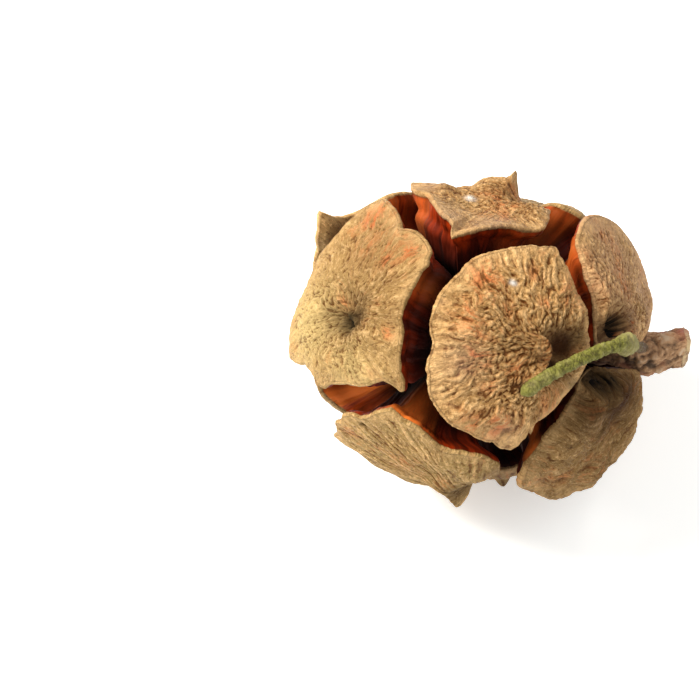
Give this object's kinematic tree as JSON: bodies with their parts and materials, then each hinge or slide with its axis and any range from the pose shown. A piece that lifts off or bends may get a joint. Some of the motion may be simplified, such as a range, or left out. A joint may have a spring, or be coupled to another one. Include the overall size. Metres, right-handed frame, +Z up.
{
  "type": "cypress cone",
  "caption": "Open dry cypress cone: thick shield-shaped woody scales parted by deep gaps round a short core, with a broken stalk and a green sprig lying over it.",
  "frame": {"origin": "centre of the cone's bounding box, on the surface that it rests on", "axes": "+X along the cone towards its stalk, +Z up, so that -Y is the front"},
  "size_m": [0.0405, 0.0335, 0.0324],
  "materials": {
    "tan_scale": "dry, wrinkled, matt",
    "grey_scale": "weathered, wrinkled, matt",
    "stalk_bark": "rough bark, matt",
    "sprig": "green, finely scaled, matt"
  },
  "bodies": {
    "root": {"core_and_stalk": "stalk_bark", "scale_crown": "tan_scale", "scale_tip_top": "tan_scale", "scale_top_back": "tan_scale", "scale_stalk_top": "tan_scale", "scale_stalk_front": "grey_scale", "scale_front": "tan_scale", "scale_tip_back": "tan_scale", "scale_back": "tan_scale", "scale_front_low": "tan_scale", "scale_back_low": "tan_scale", "scale_tip_low": "tan_scale", "scale_stalk_low": "tan_scale", "green_sprig": "sprig"}
  },
  "joints": []
}
